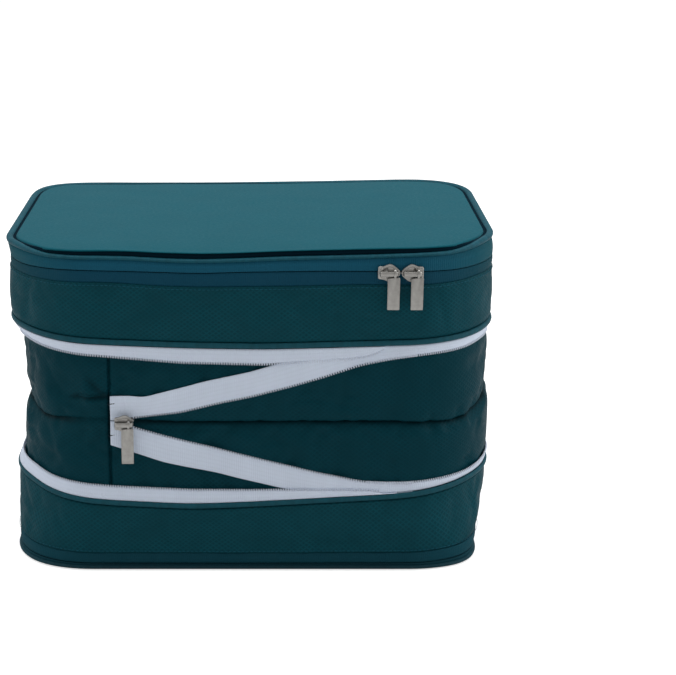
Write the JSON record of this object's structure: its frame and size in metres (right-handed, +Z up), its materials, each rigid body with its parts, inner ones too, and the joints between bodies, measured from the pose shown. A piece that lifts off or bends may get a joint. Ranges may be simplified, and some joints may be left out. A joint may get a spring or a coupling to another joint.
{
  "type": "packing cube",
  "caption": "Soft rectangular packing cube with rounded corners, zipped lids at top and bottom, and a bellows closed by a compression zip.",
  "frame": {"origin": "centre of the bottom lid's underside, on the floor", "axes": "+X along the long side to the right, +Z up, front face with the compression slider towards -Y"},
  "size_m": [0.3058, 0.2274, 0.199],
  "materials": {
    "lid_panel": "smooth coated polyester, slightly padded",
    "foam": "open-cell foam sheet",
    "lining": "plain woven lining",
    "rim": "turned edge of the lid, plain weave",
    "zip_tape": "ribbed woven zip tape",
    "zip_coil": "nylon coil",
    "binding": "folded seam binding",
    "hinge_cloth": "folded cloth hinge",
    "ripstop": "nylon with a small diamond ripstop, soft sheen",
    "piping": "narrow corded piping",
    "white_tape": "woven zip tape, cool white",
    "white_teeth": "fine coil teeth, cool white",
    "gusset_cloth": "thin plain nylon, wrinkled",
    "divider_mesh": "thin lining cloth",
    "slider_metal": "satin nickel plating"
  },
  "bodies": {
    "bottom_lid": {"bottom_panel": "lid_panel", "bottom_panel_foam": "foam", "bottom_panel_lining": "lining", "bottom_rim_roll": "rim", "bottom_lid_zip_tape": "zip_tape", "bottom_lid_zip_coil": "zip_coil", "bottom_lid_seam_binding": "binding", "bottom_hinge_fold": "hinge_cloth"},
    "lower_shell": {"lower_zip_tape": "zip_tape", "lower_zip_coil": "zip_coil", "lower_wall": "ripstop", "lower_wall_lining": "lining", "lower_zip_binding": "binding", "lower_piping": "piping", "lower_compression_tape": "white_tape", "lower_compression_teeth": "white_teeth", "lower_seam_binding": "binding", "gusset": "gusset_cloth", "lower_lead_tape": "white_tape"},
    "upper_shell": {"upper_zip_tape": "zip_tape", "upper_zip_coil": "zip_coil", "upper_wall": "ripstop", "upper_wall_lining": "lining", "upper_zip_binding": "binding", "upper_piping": "piping", "upper_compression_tape": "white_tape", "upper_compression_teeth": "white_teeth", "upper_seam_binding": "binding", "upper_lead_tape": "white_tape"},
    "divider": {"divider_panel": "divider_mesh", "divider_edge_binding": "binding"},
    "compression_slider_body": {"compression_slider": "slider_metal"},
    "compression_pull_body": {"compression_pull": "slider_metal"},
    "top_lid": {"top_panel": "lid_panel", "top_panel_foam": "foam", "top_panel_lining": "lining", "top_rim_roll": "rim", "top_lid_zip_tape": "zip_tape", "top_lid_zip_coil": "zip_coil", "top_lid_seam_binding": "binding", "top_hinge_fold": "hinge_cloth"},
    "top_left_slider_body": {"top_left_slider": "slider_metal"},
    "top_left_pull_body": {"top_left_pull": "slider_metal"},
    "top_right_slider_body": {"top_right_slider": "slider_metal"},
    "top_right_pull_body": {"top_right_pull": "slider_metal"},
    "bottom_front_slider_body": {"bottom_front_slider": "slider_metal"},
    "bottom_front_pull_body": {"bottom_front_pull": "slider_metal"},
    "bottom_rear_slider_body": {"bottom_rear_slider": "slider_metal"},
    "bottom_rear_pull_body": {"bottom_rear_pull": "slider_metal"}
  },
  "joints": [
    {"name": "bottom_lid_opening", "type": "hinge", "parent": "bottom_lid", "child": "lower_shell", "pos_m": [0, 0.1108, 0.0065], "axis": [1, 0, 0], "range_deg": [-90, 0]},
    {"name": "compression", "type": "slide", "parent": "lower_shell", "child": "upper_shell", "axis": [0, 0, 1], "range_m": [-0.072, 0], "deforming": ["gusset", "upper_lead_tape", "lower_lead_tape"]},
    {"name": "divider_follow", "type": "slide", "parent": "lower_shell", "child": "divider", "axis": [0, 0, 1], "range_m": [-0.036, 0]},
    {"name": "compression_zip_travel", "type": "slide", "parent": "divider", "child": "compression_slider_body", "axis": [1, 0, 0], "range_m": [0, 0.1515]},
    {"name": "compression_pull_swing", "type": "hinge", "parent": "compression_slider_body", "child": "compression_pull_body", "pos_m": [-0.076, -0.1139, 0.096], "axis": [-1, 0, 0], "range_deg": [0, 170]},
    {"name": "top_lid_opening", "type": "hinge", "parent": "upper_shell", "child": "top_lid", "pos_m": [0, 0.1108, 0.19], "axis": [-1, 0, 0], "range_deg": [0, 180]},
    {"name": "top_left_zip_travel", "type": "slide", "parent": "upper_shell", "child": "top_left_slider_body", "axis": [1, 0, 0], "range_m": [-0.169, 0]},
    {"name": "top_left_pull_swing", "type": "hinge", "parent": "top_left_slider_body", "child": "top_left_pull_body", "pos_m": [0.082, -0.1139, 0.19], "axis": [-1, 0, 0], "range_deg": [0, 170]},
    {"name": "top_right_zip_corner", "type": "hinge", "parent": "upper_shell", "child": "top_right_slider_body", "pos_m": [0.094, -0.054, 0.19], "axis": [0, 0, 1], "range_deg": [0, 85]},
    {"name": "top_right_pull_swing", "type": "hinge", "parent": "top_right_slider_body", "child": "top_right_pull_body", "pos_m": [0.09657, -0.11385, 0.19], "axis": [-0.9991, -0.0428, 0], "range_deg": [0, 170]},
    {"name": "bottom_front_zip_travel", "type": "slide", "parent": "lower_shell", "child": "bottom_front_slider_body", "axis": [0, 1, 0], "range_m": [-0.09, 0]},
    {"name": "bottom_front_pull_swing", "type": "hinge", "parent": "bottom_front_slider_body", "child": "bottom_front_pull_body", "pos_m": [0.1539, 0.043, 0.0065], "axis": [0, 1, 0], "range_deg": [0, 110]},
    {"name": "bottom_rear_zip_corner", "type": "hinge", "parent": "lower_shell", "child": "bottom_rear_slider_body", "pos_m": [0.094, 0.054, 0.0065], "axis": [0, 0, 1], "range_deg": [0, 82]},
    {"name": "bottom_rear_pull_swing", "type": "hinge", "parent": "bottom_rear_slider_body", "child": "bottom_rear_pull_body", "pos_m": [0.15379, 0.05763, 0.0065], "axis": [-0.0607, 0.9982, 0], "range_deg": [0, 110]}
  ],
  "couplings": [
    {"joint": "divider_follow", "follows": "compression", "ratio": 0.4847},
    {"joint": "compression_zip_travel", "follows": "compression", "ratio": -2.0972}
  ]
}
